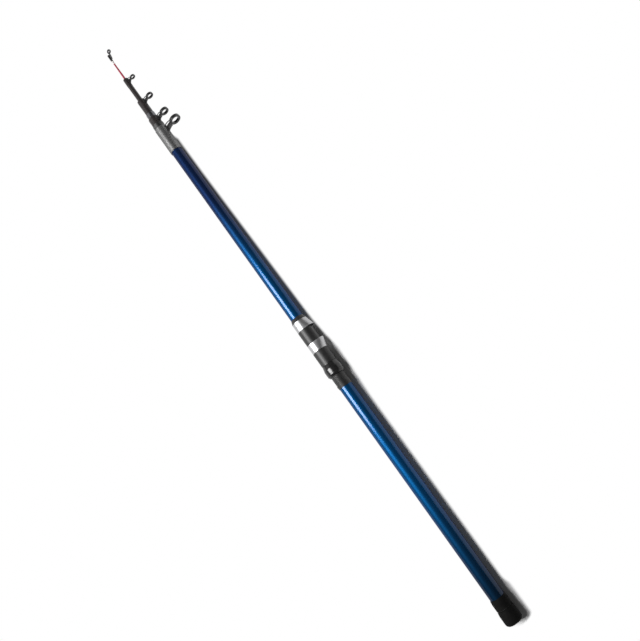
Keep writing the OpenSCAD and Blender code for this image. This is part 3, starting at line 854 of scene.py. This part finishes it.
def screw_plug():
    """The plug's head, its neck through the washer and its thread."""
    x0, x1 = span("screw_plug")
    head = reach("screw_plug")
    neck_x = span("rubber_cap")[1]
    thread_x = span("butt_tube")[0]
    crest = bore("threaded_insert") - RUN_GAP
    end_r = crest - PLUG_THREAD_DEPTH - PLUG_CHAMFER
    rings = [around(x0, TINY_R), around(x0, head), around(neck_x, head), around(neck_x, crest)]
    rings += [around(thread_x, crest)]
    rings += thread_rings(
        thread_x + PLUG_LEAD, x1 - PLUG_CHAMFER, crest, PLUG_THREAD_DEPTH, PLUG_PITCH, rows=8
    )
    rings += [around(x1, end_r), around(x1, TINY_R)]
    return skin(rings, loop=False)


dress("butt_ferrule", butt_ferrule())
dress("rubber_cap", rubber_cap())
dress("screw_plug", screw_plug())


# Line guides

def lean_frame(x, h, lean):
    """Places a ring drawn about +Z upright on the guide side, leaning towards the tip."""
    upright = Matrix.Rotation(math.pi / 2, 4, "X")
    leaning = Matrix.Rotation(math.pi / 2 + lean, 4, "Y")
    return upright @ Matrix.Translation((x, 0, h)) @ leaning


def ring_about(place, inner_r, outer_r, depth, edge):
    """A ring with a rounded section, drawn about +Z and put in place."""
    half = depth / 2
    corners = [(inner_r, -half), (outer_r, -half), (outer_r, half), (inner_r, half)]
    rings = []
    for p in soften(corners, edge, steps=6, share=0.45):
        rings.append([place @ polar(p[0], TAU * n / RING_SIDES, p[1]) for n in range(RING_SIDES)])
    return skin(rings, loop=True)


def rim_point(place, radius, turn):
    """A point on a placed ring's rim, counted from its lowest point."""
    return place @ polar(radius, turn)


def bent_foot(x0, x1, floor, width, thick):
    """A thin foot bent round the rod, narrowing and thinning towards both ends and both edges."""
    end_width = 0.35
    end_thick = 0.3
    edge_drop = 0.7
    count = 16
    sole_r = floor + BOND
    rings = []
    for k, x in enumerate(evenly(x0, x1, count)):
        full = (1 - abs(2 * k / count - 1) ** 3) ** 0.5
        half_turn = width / 2 / floor * (end_width + (1 - end_width) * full)
        lift = thick * (end_thick + (1 - end_thick) * full)
        turns = evenly(-half_turn, half_turn, count=12)
        crown = [on_rod(x, sole_r + lift * (1 - edge_drop * (t / half_turn) ** 4), t) for t in turns]
        sole = [on_rod(x, sole_r, t) for t in reversed(turns)]
        rings.append(crown + sole)
    return skin(rings, loop=False)


def post(foot_mid, foot_half, floor, neck_mid, neck_half, neck_h, thick):
    """A plate that rises from the foot to the ring, waisted, with rounded edges."""
    waist = 1.6
    neck_thick = 0.8
    foot_swell = 0.35
    squareness = 0.45
    sides = 20

    def squared(value):
        return math.copysign(abs(value) ** squareness, value)

    rings = []
    for v in evenly(0, 1, count=10):
        spread = (1 - v) ** waist
        mid = neck_mid + (foot_mid - neck_mid) * spread
        half = neck_half + (foot_half - neck_half) * spread
        h = floor + (neck_h - floor) * v
        t = thick / 2 * (neck_thick + foot_swell * (1 - v) ** 3)
        turns = [TAU * n / sides for n in range(sides)]
        rings.append([
            Vector((mid + half * squared(math.cos(turn)), -h, t * squared(math.sin(turn)))) for turn in turns
        ])
    return skin(rings, loop=False)


def bowed_wire(start, end, sag, radius):
    """A wire from start to end that is drawn aside, at its middle by half of a vector."""
    return tube_along(curve(start, (start + end) / 2 + sag, end, steps=10), radius)


def guide_floor(i, x):
    """Radius of the surface that a guide's foot sits on: the tapered binding or a straight ring."""
    if GUIDE_SEAT[i] == "butt_guide_binding":
        return TAPER["butt"](x) + BINDING_T
    return front_radius(GUIDE_SEAT[i])


def line_guide(i):
    """One guide: a bent foot, a post, a band with its ceramic ring, and two braces towards the tip."""
    low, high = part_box(GUIDES[i] + "_guide_ring")
    x = (low.x + high.x) / 2 / MM
    h, r = GUIDE_H[i], GUIDE_R[i]
    place = lean_frame(x, h, GUIDE_LEAN)
    floor = guide_floor(i, x)
    foot_x = x - (h - floor) * math.tan(GUIDE_LEAN)
    x0, x1 = foot_x - FOOT_LEN[i] / 2, foot_x + FOOT_LEN[i] / 2
    band_mid = r - BAND_T / 2
    low_x = x - band_mid * math.sin(GUIDE_LEAN)
    low_h = h - band_mid * math.cos(GUIDE_LEAN)
    post_x = foot_x - FOOT_LEN[i] / 8
    post_half = 0.36 * FOOT_LEN[i]
    neck_half = 0.45 * r
    parts = [
        bent_foot(x0, x1, floor, FOOT_W[i], FOOT_T),
        post(post_x, post_half, floor + POST_BASE_H, low_x, neck_half, low_h, POST_T[i]),
        ring_about(place, r - BAND_T, r, GUIDE_DEPTH[i], edge=0.5),
    ]
    brace_r = BRACE_R[i]
    foot_turn = 0.32 * FOOT_W[i] / floor
    for side in (-1, 1):
        rim = rim_point(place, band_mid, side * BRACE_TURN)
        base = on_rod(x1 - 2 * brace_r, floor + FOOT_T / 2, side * foot_turn)
        parts.append(bowed_wire(rim, base, Vector((brace_r, 0, side * 2 * brace_r)), brace_r))
    dress(GUIDES[i] + "_guide_frame", joined(*parts))
    ring = ring_about(place, HOLE_R[i], r - BAND_T - BOND, GUIDE_DEPTH[i], edge=1.6)
    dress(GUIDES[i] + "_guide_ring", ring)


def tip_top():
    """The tip ring: a tube on the rod's end, two struts and a band with its ceramic ring."""
    low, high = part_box("tip_top_ring")
    x = (low.x + high.x) / 2 / MM
    place = lean_frame(x, TIP_RING_H, TIP_LEAN)
    x0, x1 = span("tip_top_tube")
    tube_r = reach("tip_top_tube")
    bore_r = TAPER["tip"](x0) + BOND
    strut_aside = 0.7 * STRUT_R
    parts = [ring_about(place, TIP_RING_R - TIP_BAND_T, TIP_RING_R, TIP_DEPTH, edge=0.4)]
    for side in (-1, 1):
        rim = rim_point(place, TIP_RING_R - TIP_BAND_T / 2, side * STRUT_TURN)
        base = Vector((x0 + (x1 - x0) / 3, -(tube_r + STRUT_R), side * strut_aside))
        parts.append(bowed_wire(rim, base, Vector((0, 0, side * STRUT_R)), STRUT_R))
    dress("tip_top_frame", joined(*parts))
    ring = ring_about(place, TIP_HOLE_R, TIP_RING_R - TIP_BAND_T - BOND, TIP_DEPTH, edge=0.9)
    dress("tip_top_ring", ring)
    tube = lathe([(x0, bore_r), (x0, tube_r), (x1, tube_r), (x1, bore_r)], edge=0.25, sides=SLIM_SIDES)
    dress("tip_top_tube", tube)


for i in range(len(GUIDES)):
    line_guide(i)
tip_top()


# Studio

ROD_LEN = cad_box[1].x
FLOOR_Z = cad_box[0].z
FLOOR_HALF = 6.0
FLOOR_SHADE = 0.9
WORLD_LEVEL = 0.07

# The backdrop is white up to one height above the horizon and fades to the world's own grey at another
BACKDROP_WHITE = math.sin(math.radians(10))
BACKDROP_GREY = math.sin(math.radians(15))

# The floor near the rod shows its shadow. For stations along the rod, this is the reach from the axis
# at which the floor has faded to the white backdrop, in metres.
SHADOW_REACH = (
    (0.0, 0.0272), (0.046, 0.0272), (0.058, 0.0224), (0.390, 0.0228), (0.430, 0.0250), (0.486, 0.0264),
    (0.522, 0.0216), (0.550, 0.0190), (0.883, 0.0138), (0.965, 0.0135), (1.005, 0.0)
)
SHADOW_FADE = 0.006

# On the lamp's side and past the rod's ends the floor fades to the backdrop so many times nearer to the rod
LIT_SIDE = 1.6
PAST_END = 2.2

# One large soft lamp, in metres and watts; its aim lies behind its own station, towards the butt
LAMP_DISTANCE = 4.0
LAMP_ASIDE = math.radians(30)
LAMP_X = 1.34
LAMP_AIM_BACK = 0.4
LAMP_SIZE = (1.4, 2.6)
LAMP_POWER = 225


def math_node(tree, operation, *values):
    """A node of plain arithmetic on sockets and numbers."""
    node = tree.nodes.new("ShaderNodeMath")
    node.operation = operation
    for socket, value in zip(node.inputs, values):
        if isinstance(value, (int, float)):
            socket.default_value = value
        else:
            tree.links.new(value, socket)
    return node.outputs["Value"]


def fading(tree, value, start, end):
    """A smooth step of a value between two numbers, as a node whose results can still be set."""
    fade = tree.nodes.new("ShaderNodeMapRange")
    fade.interpolation_type = "SMOOTHSTEP"
    fade.inputs["From Min"].default_value = start
    fade.inputs["From Max"].default_value = end
    tree.links.new(value, fade.inputs["Value"])
    return fade


def seen(tree):
    """One on rays that show a surface, to the camera or in a reflection, and zero on rays that light it."""
    path = tree.nodes.new("ShaderNodeLightPath")
    mirrored = math_node(tree, "ADD", path.outputs["Is Glossy Ray"], path.outputs["Is Transmission Ray"])
    return math_node(tree, "MINIMUM", math_node(tree, "ADD", path.outputs["Is Camera Ray"], mirrored), 1.0)


def from_rod(tree, x, y):
    """Distance of a point on the floor from the rod, longer on the lamp's side and past the rod's ends."""
    before = math_node(tree, "MULTIPLY", x, -1.0)
    beyond = math_node(tree, "MAXIMUM", before, math_node(tree, "SUBTRACT", x, ROD_LEN))
    past = math_node(tree, "MULTIPLY", math_node(tree, "MAXIMUM", beyond, 0.0), PAST_END)
    shaded = math_node(tree, "MULTIPLY", y, -1.0)
    aside = math_node(tree, "MAXIMUM", shaded, math_node(tree, "MULTIPLY", y, LIT_SIDE))
    squares = [math_node(tree, "POWER", length, 2.0) for length in (past, aside)]
    return math_node(tree, "POWER", math_node(tree, "ADD", *squares), 0.5)


def shadow_reach(tree, x):
    """The shadow's reach from the rod's axis at a station."""
    near = tree.nodes.new("ShaderNodeValToRGB")
    stops = near.color_ramp.elements
    stops.remove(stops[1])
    stops[0].color = (*grey(SHADOW_REACH[0][1]), 1)
    for station, width in SHADOW_REACH[1:]:
        stops.new(station / ROD_LEN).color = (*grey(width), 1)
    tree.links.new(math_node(tree, "DIVIDE", x, ROD_LEN), near.inputs["Fac"])
    return near.outputs["Color"]


def floor_material():
    """A pale floor that takes the rod's shadow and fades to white around it, on the rays that show it."""
    material, tree, surface = shader("floor", grey(FLOOR_SHADE), roughness=0.9, specular=0.0)
    place = tree.nodes.new("ShaderNodeNewGeometry")
    parts = tree.nodes.new("ShaderNodeSeparateXYZ")
    tree.links.new(place.outputs["Position"], parts.inputs["Vector"])
    x, y = parts.outputs["X"], parts.outputs["Y"]
    outside = math_node(tree, "SUBTRACT", from_rod(tree, x, y), shadow_reach(tree, x))
    fade = fading(tree, outside, -SHADOW_FADE, 0.0)
    white = tree.nodes.new("ShaderNodeEmission")
    mix = tree.nodes.new("ShaderNodeMixShader")
    tree.links.new(math_node(tree, "MULTIPLY", seen(tree), fade.outputs["Result"]), mix.inputs["Fac"])
    tree.links.new(surface.outputs["BSDF"], mix.inputs[1])
    tree.links.new(white.outputs["Emission"], mix.inputs[2])
    tree.links.new(mix.outputs["Shader"], tree.nodes["Material Output"].inputs["Surface"])
    return material


def studio_floor():
    """A large square floor under the rod."""
    signs = ((-1, -1), (1, -1), (1, 1), (-1, 1))
    corners = [(sx * FLOOR_HALF, sy * FLOOR_HALF, FLOOR_Z) for sx, sy in signs]
    mesh = bpy.data.meshes.new("floor")
    mesh.from_pydata(corners, [], [(0, 1, 2, 3)])
    mesh.materials.append(floor_material())
    floor = bpy.data.objects.new("floor", mesh)
    bpy.context.scene.collection.objects.link(floor)


def studio_lamp():
    """A soft lamp above the rod, on the side away from the guides."""
    data = bpy.data.lights.new("key", "AREA")
    data.shape = "RECTANGLE"
    data.size, data.size_y = LAMP_SIZE
    data.energy = LAMP_POWER
    place = Vector((
        LAMP_X, LAMP_DISTANCE * math.sin(LAMP_ASIDE), LAMP_DISTANCE * math.cos(LAMP_ASIDE)
    ))
    ahead = (Vector((LAMP_X - LAMP_AIM_BACK, 0, 0)) - place).normalized()
    side = (Vector((1, 0, 0)) - ahead * ahead.x).normalized()
    light = bpy.data.objects.new("key", data)
    turn = Matrix((side, -ahead.cross(side), -ahead)).transposed().to_4x4()
    light.matrix_world = Matrix.Translation(place) @ turn
    bpy.context.scene.collection.objects.link(light)


def studio_world():
    """Even dim light from all round, shown as a white backdrop low above the horizon."""
    world = bpy.data.worlds.new("studio")
    world.use_nodes = True
    tree = world.node_tree
    place = tree.nodes.new("ShaderNodeTexCoord")
    parts = tree.nodes.new("ShaderNodeSeparateXYZ")
    tree.links.new(place.outputs["Generated"], parts.inputs["Vector"])
    backdrop = fading(tree, parts.outputs["Z"], BACKDROP_WHITE, BACKDROP_GREY)
    backdrop.inputs["To Min"].default_value = 1.0 - WORLD_LEVEL
    backdrop.inputs["To Max"].default_value = 0.0
    shown = math_node(tree, "MULTIPLY", seen(tree), backdrop.outputs["Result"])
    sky = tree.nodes["Background"]
    sky.inputs["Color"].default_value = (1, 1, 1, 1)
    tree.links.new(math_node(tree, "ADD", shown, WORLD_LEVEL), sky.inputs["Strength"])
    bpy.context.scene.world = world


studio_floor()
studio_lamp()
studio_world()


# Camera at the photograph's view

# Focal length and frame width in pixels, the sensor's width and the nearest point shown
FOCAL_PIXELS = 700.0
IMAGE_WIDTH = 640.0
SENSOR_MM = 36.0
CLIP_NEAR = 0.01

# The view leans this far towards the butt and stands this far round the rod, from above towards the guides
TILT = math.radians(13.11)
GUIDE_TURN = math.radians(16)

# Direction of the rod's axis in the frame, to the right and up, and a small spin about the line of sight
AXIS_IN_IMAGE = (-0.5832, 0.8124)
SPIN = math.radians(-0.36)

# The camera faces this station from this distance, moved to the right, in metres
LOOK_X = 0.5601
LOOK_RIGHT = 0.0351
DISTANCE = 1.1495


def studio_camera():
    """The camera that was fitted to the photograph."""
    data = bpy.data.cameras.new("camera")
    data.sensor_fit = "HORIZONTAL"
    data.sensor_width = SENSOR_MM
    data.lens = FOCAL_PIXELS * SENSOR_MM / IMAGE_WIDTH
    data.clip_start = CLIP_NEAR
    back = Vector((
        -math.sin(TILT), -math.cos(TILT) * math.sin(GUIDE_TURN), math.cos(TILT) * math.cos(GUIDE_TURN)
    ))
    along = (Vector((1, 0, 0)) - back * back.x).normalized()
    aside = along.cross(back)
    flat_right = along * AXIS_IN_IMAGE[0] + aside * AXIS_IN_IMAGE[1]
    flat_up = along * AXIS_IN_IMAGE[1] - aside * AXIS_IN_IMAGE[0]
    right = flat_right * math.cos(SPIN) + flat_up * math.sin(SPIN)
    up = flat_up * math.cos(SPIN) - flat_right * math.sin(SPIN)
    camera = bpy.data.objects.new("camera", data)
    turn = Matrix((right, up, back)).transposed().to_4x4()
    place = Vector((LOOK_X, 0, 0)) + right * LOOK_RIGHT + back * DISTANCE
    camera.matrix_world = Matrix.Translation(place) @ turn
    bpy.context.scene.collection.objects.link(camera)
    bpy.context.scene.camera = camera


studio_camera()
bpy.context.scene.view_settings.view_transform = "Standard"
